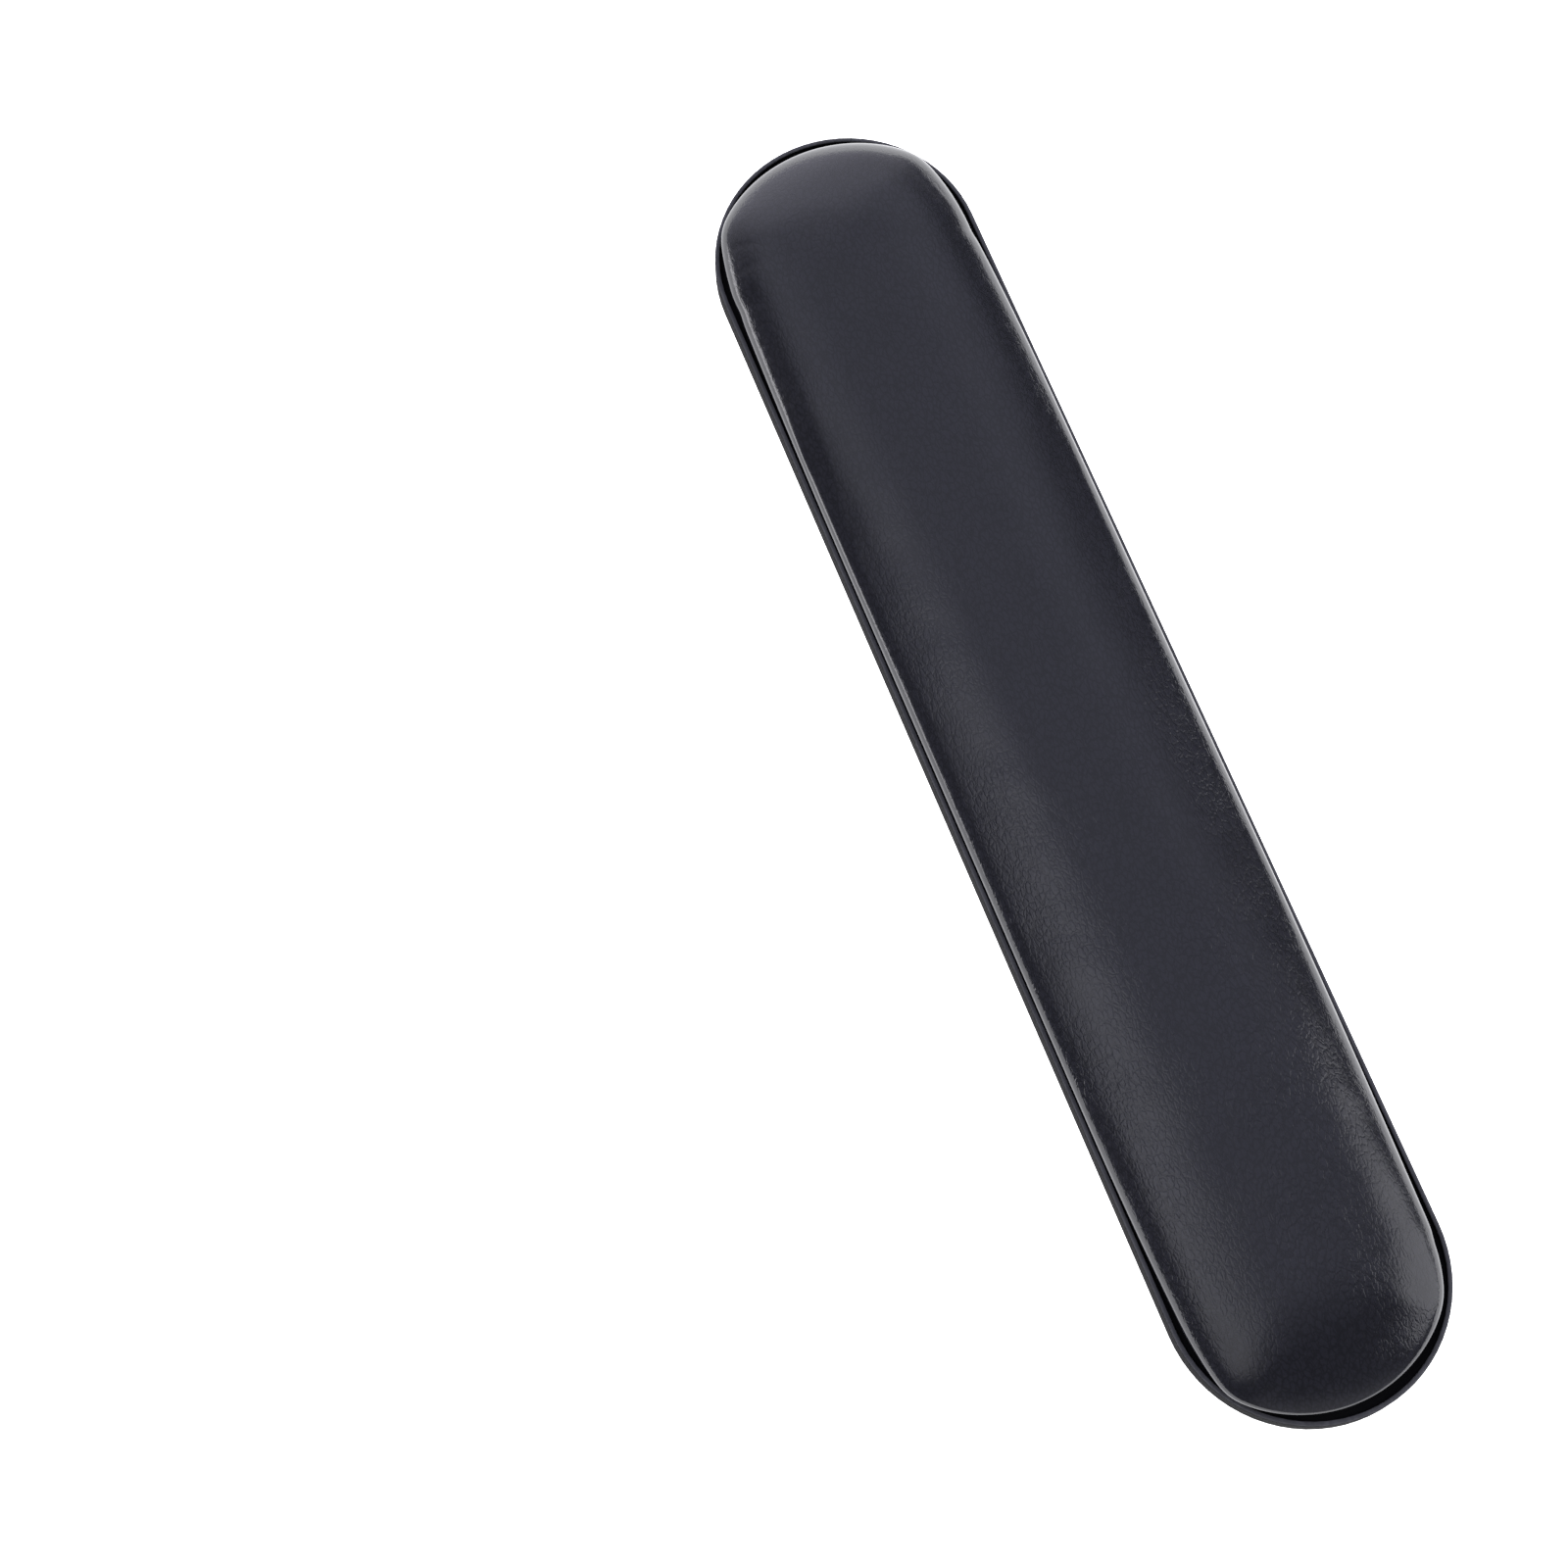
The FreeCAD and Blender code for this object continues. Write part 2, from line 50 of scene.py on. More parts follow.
_, tray_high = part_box("base_tray")
board_low, board_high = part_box("cushion_board")
cover_low, cover_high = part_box("cover")
END_X = (tray_high.x - tray_high.y) / MM  # how far along the pad each round end has its centre
HEM_Z = cover_low.z / MM
TOP_Z = cover_high.z / MM
SIDE_Y = {1: 33.35, -1: 33.65}  # the cushion's half width at its bulge, to its left and right
BULGE_Z = 9.1  # height at which it is widest
ROOM_TO_SWELL = 0.1  # how far below its full height the top is drawn, before it is plumped
SKIN = 0.9  # thickness of the vinyl
CROWN_FULLNESS = 1.1  # the power that shapes the crown: a smaller one makes a flatter top


# ---------------------------------------------------------------- camera and light
def place_camera():
    """A long lens above the near end that looks almost straight down, the pad right of centre."""
    camera = bpy.data.objects.new("Camera", bpy.data.cameras.new("Camera"))
    bpy.context.scene.collection.objects.link(camera)
    camera.data.lens = 76.27
    camera.data.sensor_width = 36.0
    eye = Vector((0.2064, -0.1585, 0.7913))
    aim = Vector((-0.0184, -0.0681, 0.0))
    far = Vector((-0.9278, 0.3731, 0.0))
    away = (eye - aim).normalized()
    side = far.cross(away).normalized()
    turn = Matrix((side, away.cross(side), away)).transposed()
    camera.matrix_world = Matrix.Translation(eye) @ turn.to_4x4()
    bpy.context.scene.camera = camera


# Soft lights in the room, as patches of bright wall or ceiling: the way to each from the pad, how
# near its middle it is fully bright, where it has faded out (both in degrees), brightness and tint.
SOFT_LIGHTS = {
    "ceiling": ((-0.49, 0.10, 1.0), 7, 53, 0.57, (0.87, 0.89, 1.10)),
    "far_wall": ((-1.0, 0.0, 0.05), 4, 66, 1.08, (0.93, 0.92, 1.07)),
    "far_window": ((-1.0, 0.0, 0.02), 3, 30, 0.45, (0.93, 0.92, 1.07)),
    "left_near": ((0.30, 0.84, 0.46), 20, 28, 2.25, (0.96, 0.96, 1.02)),
    "left_middle": ((-0.33, 0.66, 0.68), 4, 22, 0.24, (0.87, 0.89, 1.10)),
    "right_middle": ((-0.30, -0.47, 0.83), 6, 21, 0.28, (0.90, 0.91, 1.06)),
    "right_far": ((-0.446, -0.878, -0.174), 16, 21, 7.0, (0.97, 0.96, 1.0)),
    "right_near": ((0.10, -0.50, 0.86), 10, 27, 1.1, (0.96, 0.96, 1.02)),
    "near_wall": ((1.0, 0.0, 0.16), 12, 40, 0.42, (0.96, 0.96, 1.02)),
}
ROOM_GLOW = (0.080, 0.084, 0.100, 1.0)
PALE_WALL = (0.95, 0.95, 0.95, 1.0)


def set_studio():
    """A dim room with a few soft bright patches, which reads as a pale wall where it is seen.

    A patch's brightness runs smoothly from full to none with the angle from its middle.
    """
    world = bpy.data.worlds.new("studio")
    world.use_nodes = True
    nodes, links = world.node_tree.nodes, world.node_tree.links
    way = nodes.new("ShaderNodeTexCoord").outputs["Generated"]
    total = None
    for way_to, full, faded, brightness, tint in SOFT_LIGHTS.values():
        facing = nodes.new("ShaderNodeVectorMath")
        facing.operation = "DOT_PRODUCT"
        facing.inputs[1].default_value = Vector(way_to).normalized()
        links.new(way, facing.inputs[0])
        patch = nodes.new("ShaderNodeMapRange")
        patch.interpolation_type = "SMOOTHSTEP"
        patch.inputs["From Min"].default_value = np.cos(np.radians(faded))
        patch.inputs["From Max"].default_value = np.cos(np.radians(full))
        patch.inputs["To Max"].default_value = brightness
        links.new(facing.outputs["Value"], patch.inputs["Value"])
        tinted = nodes.new("ShaderNodeVectorMath")
        tinted.operation = "MULTIPLY_ADD"
        tinted.inputs[1].default_value = tint
        tinted.inputs[2].default_value = ROOM_GLOW[:3]
        links.new(patch.outputs["Result"], tinted.inputs[0])
        if total:
            tinted.inputs[2].default_value = (0.0, 0.0, 0.0)
            links.new(total, tinted.inputs[2])
        total = tinted.outputs["Vector"]
    room = nodes["Background"]
    links.new(total, room.inputs["Color"])
    wall = nodes.new("ShaderNodeBackground")
    wall.inputs["Color"].default_value = PALE_WALL
    ray = nodes.new("ShaderNodeLightPath")
    either = nodes.new("ShaderNodeMixShader")
    links.new(ray.outputs["Is Camera Ray"], either.inputs[0])
    links.new(room.outputs["Background"], either.inputs[1])
    links.new(wall.outputs["Background"], either.inputs[2])
    links.new(either.outputs["Shader"], nodes["World Output"].inputs["Surface"])
    bpy.context.scene.world = world
    bpy.context.scene.view_settings.view_transform = "Standard"


def lay_floor():
    """A flat pale sheet under the pad, bright enough to read as a lit white table."""
    half = 8.0
    mesh = bpy.data.meshes.new("floor")
    corners = [(-half, -half, 0), (half, -half, 0), (half, half, 0), (-half, half, 0)]
    mesh.from_pydata(corners, [], [(0, 1, 2, 3)])
    floor = bpy.data.objects.new("floor", mesh)
    floor.location.z = -0.0002
    bpy.context.scene.collection.objects.link(floor)
    paint = bpy.data.materials.new("white_table")
    paint.use_nodes = True
    shader = paint.node_tree.nodes["Principled BSDF"]
    shader.inputs["Base Color"].default_value = (0.9, 0.9, 0.9, 1.0)
    shader.inputs["Roughness"].default_value = 0.9
    shader.inputs["Specular IOR Level"].default_value = 0.1
    shader.inputs["Emission Color"].default_value = (1.0, 1.0, 1.0, 1.0)
    shader.inputs["Emission Strength"].default_value = 2.0
    mesh.materials.append(paint)


# ---------------------------------------------------------------- the cushion's form
# How each round end of the cushion departs from a half circle: the radius and setback of the arc at
# its tip, how far the arc leans to the left, and for its left (+Y) and right (-Y) sides the angle
# and distance of a flat taper. "narrowed" is how much the side has drawn in where the end begins.
NEAR_END = {
    "arc": 36.55,
    "back": 5.1,
    "lean": -1.4,
    "taper": {1: (76.1, 32.0), -1: (78.3, 32.8)},
    "narrowed": {1: 1.0, -1: 0.8},
    "draws_in_from": {1: 30.0, -1: 90.0},
}
FAR_END = {
    "arc": 37.9,
    "back": 6.6,
    "lean": 0.0,
    "taper": {1: (75.2, 32.3), -1: (77.0, 32.6)},
    "narrowed": {1: 1.15, -1: 0.65},
    "draws_in_from": {1: 95.0, -1: 60.0},
}
CORNER_SHARPNESS = 34.0
OUT_OF_REACH = 1000.0

# The rounded shoulder: how far it runs in from the outline and how far it rises, half way along the
# pad, where each end begins and at each tip, for the left (1) and right (-1) sides.
SHOULDER_REACH = {
    1: {"middle": 4.2, "near": 25.0, "near_tip": 22.0, "far": 14.0, "far_tip": 24.0},
    -1: {"middle": 3.8, "near": 9.5, "near_tip": 22.0, "far": 12.0, "far_tip": 24.0},
}
SHOULDER_RISE = {
    1: {"middle": 2.9, "near": 8.2, "near_tip": 3.4, "far": 5.0, "far_tip": 5.0},
    -1: {"middle": 2.2, "near": 4.4, "near_tip": 3.4, "far": 4.5, "far_tip": 5.0},
}
BROADENS_FROM = {"near": 45.0, "far": 60.0}
DEEPEST_REACH = 0.8  # a shoulder takes up no more than this share of the way to the axis
NEAR_DROOP = (75.0, 3.3)  # where the top begins to droop towards the near tip, and how far it drops

CELLS_ACROSS = 44
CELLS_IN_END = 22
CELLS_ALONG = 110


def smooth(t):
    """Runs from 0 to 1 as t does, level at both ends."""
    t = np.clip(t, 0.0, 1.0)
    return t * t * (3.0 - 2.0 * t)


def soft_least(*lengths):
    """The smallest of several lengths, rounded over where two of them cross."""
    total = sum(np.maximum(length, 1e-6) ** -CORNER_SHARPNESS for length in lengths)
    return total ** (-1.0 / CORNER_SHARPNESS)


def to_taper(end, side, c, s):
    """Distance along a ray with cosine c and sine s to an end's flat taper on one side."""
    turn, distance = np.radians(end["taper"][side][0]), end["taper"][side][1]
    towards = np.cos(turn) * c + side * np.sin(turn) * s
    return np.where(towards > 0.05, distance / np.maximum(towards, 0.05), OUT_OF_REACH)


def end_radius(angle, end):
    """Distance from a round end's centre to the cushion's outline, at an angle off the pad's axis.

    It is the soft least of the lengths to the arc at the tip, to the two flat tapers and to the
    pad's sides, each as it stands where the end begins.
    """
    c, s = np.cos(angle), np.sin(angle)
    ahead = -end["back"] * c + end["lean"] * s
    arc = ahead + np.sqrt(end["arc"] ** 2 - end["back"] ** 2 - end["lean"] ** 2 + ahead**2)
    left, right = (SIDE_Y[way] - end["narrowed"][way] for way in (1, -1))
    side = np.where(s >= 0, left, right) / np.maximum(np.abs(s), 1e-3)
    return soft_least(arc, side, to_taper(end, 1, c, s), to_taper(end, -1, c, s))


def half_width(x, side):
    """The cushion's half width between its ends: its side, drawn in a little towards each end."""
    width = np.full_like(x, SIDE_Y[side])
    for end, along in ((NEAR_END, x), (FAR_END, -x)):
        start = end["draws_in_from"][side]
        begun = np.clip((along - start) / (END_X - start), 0.0, 1.0)
        at_end = SIDE_Y[side] - end_radius(np.array([side * np.pi / 2]), end)[0]
        width -= at_end * begun**2
    return width


def between(values, x, side_share):
    """A size of the shoulder at x, where side_share is 1 on the pad's sides and 0 at its tips."""
    near = smooth((x - BROADENS_FROM["near"]) / (END_X - BROADENS_FROM["near"]))
    far = smooth((-x - BROADENS_FROM["far"]) / (END_X - BROADENS_FROM["far"]))
    on_side = values["middle"]
    on_side = on_side + near * (values["near"] - on_side) + far * (values["far"] - on_side)
    tip = np.where(x > 0, values["near_tip"], values["far_tip"])
    return tip + side_share * (on_side - tip)


def top_height(x, y, share, radius, side_share):
    """Height of the cushion's top where share runs from 0 at its middle to 1 at its outline.

    A quarter ellipse makes the shoulder. The crown makes up the rest of the height: one less the
    square of share, to a power. The near end then droops by the square of the way from where the
    droop begins to the tip, and less towards the outline.
    """
    reach, rise = (
        np.where(y >= 0, between(size[1], x, side_share), between(size[-1], x, side_share))
        for size in (SHOULDER_REACH, SHOULDER_RISE)
    )
    reach = np.minimum(reach, DEEPEST_REACH * radius)
    inner = 1.0 - np.clip((1.0 - share) * radius / reach, 0.0, 1.0)
    shoulder = rise * np.sqrt(1.0 - inner**2)
    drooped = np.clip((x - NEAR_DROOP[0]) / (END_X + NEAR_END["arc"] - NEAR_DROOP[0]), 0.0, 1.0)
    crown = (TOP_Z - ROOM_TO_SWELL - BULGE_Z - rise) * (1.0 - share**2) ** CROWN_FULLNESS
    return BULGE_Z + shoulder + crown - NEAR_DROOP[1] * drooped**2 * (1.0 - share**2)


def plan_grid():
    """The top's grid in plan: straight rows along the pad, and a square-to-disc map at each end.

    Returns x, y, the share of the way out to the outline, the outline's distance, and how much of
    the pad's side there is in the way out: 1 beside the pad and 0 towards a tip.
    """
    across = np.sin(np.linspace(-1.0, 1.0, CELLS_ACROSS + 1) * np.pi / 2)
    out = np.sin(np.linspace(0.0, 1.0, CELLS_IN_END + 1) * np.pi / 2)[1:]
    along = np.linspace(-END_X, END_X, CELLS_ALONG + 1)

    mid_x, mid_v = np.meshgrid(along, across, indexing="ij")
    width = np.where(mid_v >= 0, half_width(mid_x, 1), half_width(mid_x, -1))
    middle = (mid_x, mid_v * width, np.abs(mid_v), width, np.ones_like(mid_x))

    def cap(end, way):
        u, v = np.meshgrid(out, across, indexing="ij")
        a = u * np.sqrt(1.0 - v**2 / 2)
        b = v * np.sqrt(1.0 - u**2 / 2)
        share, angle = np.hypot(a, b), np.arctan2(b, a)
        radius = end_radius(angle, end)
        x = way * (END_X + share * radius * np.cos(angle))
        return x, share * radius * np.sin(angle), share, radius, np.sin(angle) ** 2

    near, far = cap(NEAR_END, 1.0), cap(FAR_END, -1.0)
    return [np.vstack((f[::-1], m, n)) for f, m, n in zip(far, middle, near)]


def edge_loop(rows, columns):
    """Indices of a grid's border, once round it."""
    index = np.arange(rows * columns).reshape(rows, columns)
    return np.concatenate((index[:-1, 0], index[-1, :-1], index[:0:-1, -1], index[0, :0:-1]))


def grid_quads(rows, columns):
    """Four-cornered faces of a grid, facing up."""
    index = np.arange(rows * columns).reshape(rows, columns)
    corners = (index[:-1, :-1], index[1:, :-1], index[1:, 1:], index[:-1, 1:])
    return np.stack(corners, -1).reshape(-1, 4)


def band(last, fresh):
    """Four-cornered faces between two rings of the same number of points, given as indices."""
    return np.stack((last, fresh, np.roll(fresh, -1), np.roll(last, -1)), -1)


def add_rings(top, quads, loop, rings):
    """Carries a surface on from its border, through rings of points given in turn."""
    points, last = [top], loop
    for ring in rings:
        fresh = sum(len(p) for p in points) + np.arange(len(ring))
        points.append(ring)
        quads.append(band(last, fresh))
        last = fresh
    return np.vstack(points), last


def outward_of(rim):
    """Level unit vectors that point out of a closed outline at each of its points."""
    step = np.roll(rim, -1, 0) - np.roll(rim, 1, 0)
    return np.column_stack((step[:, 1], -step[:, 0])) / np.linalg.norm(step, axis=1)[:, None]


def towards_axis(rim):
    """Level unit vectors from each point of an outline to the nearest point between the ends."""
    away = rim - np.column_stack((np.clip(rim[:, 0], -END_X, END_X), np.zeros(len(rim))))
    return -away / np.linalg.norm(away, axis=1)[:, None]


# Rings below the bulge, as (inset from the outline, height): down the side, round the board's edge
# and in along the hem, whose rings head for the pad's axis so that they never cross.
TURNED_UNDER = 2.4
SIDE_RINGS = (
    (0.04, BULGE_Z - 0.6),
    (0.18, BULGE_Z - 1.3),
    (0.42, BULGE_Z - 2.1),
    (0.60, BULGE_Z - 2.9),
    (0.85, BULGE_Z - 3.7),
    (1.35, HEM_Z + 0.6),
    (1.8, HEM_Z + 0.2),
    (TURNED_UNDER, HEM_Z + 0.02),
    (4.5, HEM_Z + 0.02),
    (8.0, HEM_Z + 0.02),
    (11.5, HEM_Z + 0.02),
    (15.0, HEM_Z + 0.02),
)


def cushion_skin():
    """Points and faces of the cover's outer side: its top, its side and its hem, turned under."""
    x, y, share, radius, side_share = plan_grid()
    z = top_height(x, y, share, radius, side_share)
    rows, columns = x.shape
    top = np.column_stack((x.ravel(), y.ravel(), z.ravel()))
    quads = [grid_quads(rows, columns)]
    loop = edge_loop(rows, columns)
    rim = top[loop, :2]
    outward, inward = outward_of(rim), towards_axis(rim)
    rings = []
    for inset, height in SIDE_RINGS:
        plan = rim - outward * min(inset, TURNED_UNDER) + inward * max(inset - TURNED_UNDER, 0.0)
        rings.append(np.column_stack((plan, np.full(len(rim), height))))
    points, _ = add_rings(top, quads, loop, rings)
    return points, np.vstack(quads)


def new_piece(name, points, quads):
    """A smooth mesh object from points in millimetres and four-cornered faces."""
    mesh = bpy.data.meshes.new(name)
    mesh.from_pydata((points * MM).tolist(), [], quads.tolist())
    mesh.polygons.foreach_set("use_smooth", np.ones(len(mesh.polygons), dtype=bool))
    mesh.update()
    piece = bpy.data.objects.new(name, mesh)
    bpy.context.scene.collection.objects.link(piece)
    return piece


def points_of(mesh):
    """A mesh's points in millimetres."""
    flat = np.empty(len(mesh.vertices) * 3)
    mesh.vertices.foreach_get("co", flat)
    return flat.reshape(-1, 3) / MM


def set_points(mesh, points):
    """Moves a mesh's points, given in millimetres."""
    mesh.vertices.foreach_set("co", (points * MM).ravel())
    mesh.update()


def settled_points(piece):
    """Where a piece's points stand once its modifiers have run, in millimetres."""
    graph = bpy.context.evaluated_depsgraph_get()
    shaped = piece.evaluated_get(graph)
    mesh = shaped.to_mesh()
    points = points_of(mesh)
    shaped.to_mesh_clear()
    return points


# ---------------------------------------------------------------- cloth, and the hand's work after
PLUMP_PRESSURE = 4.0
PLUMP_FRAMES = 20
PLUMP_CAP = 0.7  # no point of the cover moves further than this
GRIP = (0.5, 3.0)  # how far below the bulge the hold begins, and over what height it grows to full


def plump(piece):
    """Blows the cover up like the skin of a pad, its hem held, and keeps a capped part of that.

    Each point keeps its own direction of travel. The distance is the cap times the hyperbolic
    tangent of what the cloth moved over the cap, so it never jumps and never passes the cap.
    """
    rest = points_of(piece.data)
    held = piece.vertex_groups.new(name="held")
    grip = np.clip((BULGE_Z - GRIP[0] - rest[:, 2]) / GRIP[1], 0.0, 1.0)
    for level in np.unique(np.round(grip, 2)):
        if level > 0:
            held.add(np.flatnonzero(np.round(grip, 2) == level).tolist(), float(level), "REPLACE")
    cloth = piece.modifiers.new("cloth", "CLOTH")
    feel = cloth.settings
    feel.quality = 6
    feel.mass = 0.3
    feel.tension_stiffness = feel.compression_stiffness = 40.0
    feel.shear_stiffness = 20.0
    feel.bending_stiffness = 6.0
    feel.use_pressure = True
    feel.uniform_pressure_force = PLUMP_PRESSURE
    feel.vertex_group_mass = "held"
    feel.effector_weights.gravity = 0.0
    cloth.point_cache.frame_start = 1
    cloth.point_cache.frame_end = PLUMP_FRAMES
    scene = bpy.context.scene
    for frame_number in range(1, PLUMP_FRAMES + 1):
        scene.frame_set(frame_number)
    moved = settled_points(piece) - rest
    piece.modifiers.remove(cloth)
    piece.vertex_groups.remove(held)
    scene.frame_set(1)
    distance = np.linalg.norm(moved, axis=1, keepdims=True)
    kept = PLUMP_CAP * np.tanh(distance / PLUMP_CAP)
    set_points(piece.data, rest + moved * kept / np.maximum(distance, 1e-9))


def refine(piece):
    """One subdivision, applied."""
    divide = piece.modifiers.new("refine", "SUBSURF")
    divide.levels = divide.render_levels = 1
    divide.boundary_smooth = "PRESERVE_CORNERS"
    graph = bpy.context.evaluated_depsgraph_get()
    fine = bpy.data.meshes.new_from_object(piece.evaluated_get(graph))
    piece.modifiers.remove(divide)
    coarse = piece.data
    piece.data = fine
    bpy.data.meshes.remove(coarse)
    fine.name = piece.name


# Creases pressed into the cover: two ends in plan, height (negative for a fold), half width. They
# grow to full over a height above the bulge, and a power blunts the way they fade to their ends.
CREASE_GROWS_OVER = 2.5
CREASE_BLUNTNESS = 0.6
CREASES = (
    ((162.5, 28.5), (153.0, 10.0), 0.22, 3.0),
    ((164.5, -25.5), (156.5, -10.0), 0.20, 3.0),
    ((-162.0, 20.5), (-141.5, 28.6), -0.10, 1.0),
    ((-156.5, 26.0), (-144.0, 29.6), -0.07, 0.8),
    ((-154.0, -28.5), (-150.5, -20.5), -0.10, 0.7),
    ((-147.0, -29.0), (-145.0, -20.0), -0.12, 0.7),
    ((-136.0, -29.5), (-135.0, -22.0), -0.10, 0.7),
)


def press_creases(piece):
    """Raises or sinks the top along each crease.

    The height falls off as a bell with the distance from the crease, and to nothing at its ends.
    """
    points = points_of(piece.data)
    plan, on_top = points[:, :2], smooth((points[:, 2] - BULGE_Z) / CREASE_GROWS_OVER)
    for start, end, height, width in CREASES:
        start, end = np.array(start), np.array(end)
        along = (plan - start) @ (end - start) / np.sum((end - start) ** 2)
        nearest = start + np.clip(along, 0.0, 1.0)[:, None] * (end - start)
        distance = np.linalg.norm(plan - nearest, axis=1)
        fade = np.sin(np.pi * np.clip(along, 0.0, 1.0)) ** CREASE_BLUNTNESS
        points[:, 2] += height * fade * np.exp(-((distance / width) ** 2)) * on_top
    set_points(piece.data, points)


# Slow waves that a hand-stretched cover keeps: waves along and across the pad in each 100 mm,
# phase in turns, height. They grow to full over a height above the bulge.
WAVES_GROW_OVER = 5.0
SLOW_WAVES = (
    (2.3, 0.9, 0.10, 0.030),
    (-1.4, 2.1, 0.55, 0.030),
    (3.7, -1.3, 0.80, 0.020),
    (4.9, 2.7, 0.25, 0.016),
    (-5.8, 3.9, 0.40, 0.012),
    (8.3, -5.1, 0.70, 0.007),
)


def wave_slowly(piece):
    """Adds a few slow sine waves to the height of the top, less towards its outline."""
    points = points_of(piece.data)
    on_top = smooth((points[:, 2] - BULGE_Z) / WAVES_GROW_OVER)
    for along, across, phase, height in SLOW_WAVES:
        turns = (points[:, 0] * along + points[:, 1] * across) / 100.0 + phase
        points[:, 2] += height * np.sin(2 * np.pi * turns) * on_top
    set_points(piece.data, points)


# Small tucks where the cover is drawn in over the board's edge: where along the pad, side, depth,
# half width.
TUCKS = ((-136.5, 1, 0.22, 2.4), (-137.5, -1, 0.22, 2.4), (147.0, 1, 0.15, 2.4))
TUCK_BAND = (22.0, 9.0)  # how far from the axis a tuck begins, and over what width it grows to full


def draw_tucks(piece):
    """Draws the cover's side inwards at each tuck, as a bell along the pad."""
    points = points_of(piece.data)
    for where, side, depth, width in TUCKS:
        bell = np.exp(-(((points[:, 0] - where) / width) ** 2))
        near_side = smooth((side * points[:, 1] - TUCK_BAND[0]) / TUCK_BAND[1])
        points[:, 1] -= side * depth * bell * near_side
    set_points(piece.data, points)


# ---------------------------------------------------------------- finishes
class Finish:
    """One node-based finish, built round a Principled shader. Lengths are in millimetres."""

    def __init__(self, name, **settings):
        self.paint = bpy.data.materials.new(name)
        self.paint.use_nodes = True
        self.nodes, self.links = self.paint.node_tree.nodes, self.paint.node_tree.links
        self.shader = self.nodes["Principled BSDF"]
        for socket, value in settings.items():
            self.shader.inputs[socket.replace("_", " ")].default_value = value
        self.place = self.nodes.new("ShaderNodeTexCoord").outputs["Object"]

    def set(self, socket, source):
        """Links another node's output to a socket, or gives the socket a plain value."""
        if isinstance(source, bpy.types.NodeSocket):
            self.links.new(source, socket)
        else:
            socket.default_value = source

    def stretched(self, per_mm):
        """Object coordinates in millimetres, times a factor along each axis."""
        node = self.nodes.new("ShaderNodeMapping")
        node.inputs["Scale"].default_value = [factor / MM for factor in per_mm]
        self.links.new(self.place, node.inputs["Vector"])
        return node.outputs["Vector"]

    def noise(self, per_mm, detail=2.0, roughness=0.5, distortion=0.0):
        """Cloudy noise with so many clouds in a millimetre along each axis."""
        node = self.nodes.new("ShaderNodeTexNoise")
        node.inputs["Scale"].default_value = 1.0
        node.inputs["Detail"].default_value = detail
        node.inputs["Roughness"].default_value = roughness
        node.inputs["Distortion"].default_value = distortion
        self.links.new(self.stretched(per_mm), node.inputs["Vector"])
        return node.outputs["Fac"]

    def cells(self, per_mm, feature="F1", warp=0.0):
        """Distance within irregular cells, whose borders wander by warp cells."""
        where = self.stretched(per_mm)
        if warp:
            drift = self.nodes.new("ShaderNodeTexNoise")
            drift.inputs["Scale"].default_value = 0.8
            self.links.new(where, drift.inputs["Vector"])
            shift = self.nodes.new("ShaderNodeVectorMath")
            shift.operation = "MULTIPLY_ADD"
            shift.inputs[1].default_value = (warp, warp, warp)
            self.links.new(drift.outputs["Color"], shift.inputs[0])
            self.links.new(where, shift.inputs[2])
            where = shift.outputs["Vector"]
        node = self.nodes.new("ShaderNodeTexVoronoi")
        node.feature = feature
        node.inputs["Scale"].default_value = 1.0
        self.links.new(where, node.inputs["Vector"])
        return node.outputs["Distance"]

    def along(self, axis):
        """Where a point stands on one axis, in millimetres."""
        parts = self.nodes.new("ShaderNodeSeparateXYZ")
        self.links.new(self.stretched((1.0, 1.0, 1.0)), parts.inputs[0])
        return parts.outputs[axis]

    def ramp(self, source, low, high, to_low, to_high):
        """Carries low..high smoothly over to to_low..to_high."""
        node = self.nodes.new("ShaderNodeMapRange")
        node.interpolation_type = "SMOOTHSTEP"
        for socket, value in zip(node.inputs, (source, low, high, to_low, to_high)):
            self.set(socket, value)
        return node.outputs["Result"]

    def maths(self, operation, first, second):
        """One step of arithmetic on two values."""
        node = self.nodes.new("ShaderNodeMath")
        node.operation = operation
        self.set(node.inputs[0], first)
        self.set(node.inputs[1], second)
        return node.outputs["Value"]

    def blend(self, share, first, second):
        """A colour between two, by share."""
        node = self.nodes.new("ShaderNodeMix")
        node.data_type = "RGBA"
        self.set(node.inputs["Factor"], share)
        self.set(node.inputs["A"], first)
        self.set(node.inputs["B"], second)
        return node.outputs["Result"]

    def bump(self, source, depth):
        """Relief of a depth in millimetres, on top of any relief so far."""
        node = self.nodes.new("ShaderNodeBump")
        node.inputs["Strength"].default_value = 1.0
        node.inputs["Distance"].default_value = depth * MM
        self.links.new(source, node.inputs["Height"])
        so_far = self.shader.inputs["Normal"].links
        if so_far:
            self.links.new(so_far[0].from_socket, node.inputs["Normal"])
        self.links.new(node.outputs["Normal"], self.shader.inputs["Normal"])

    def colour(self, source):
        """Gives the finish its colour."""
        self.links.new(source, self.shader.inputs["Base Color"])

    def rough(self, source):
        """Gives the finish its roughness."""
        self.links.new(source, self.shader.inputs["Roughness"])


def shade(red, green, blue):
    """An opaque colour."""
    return (red, green, blue, 1.0)


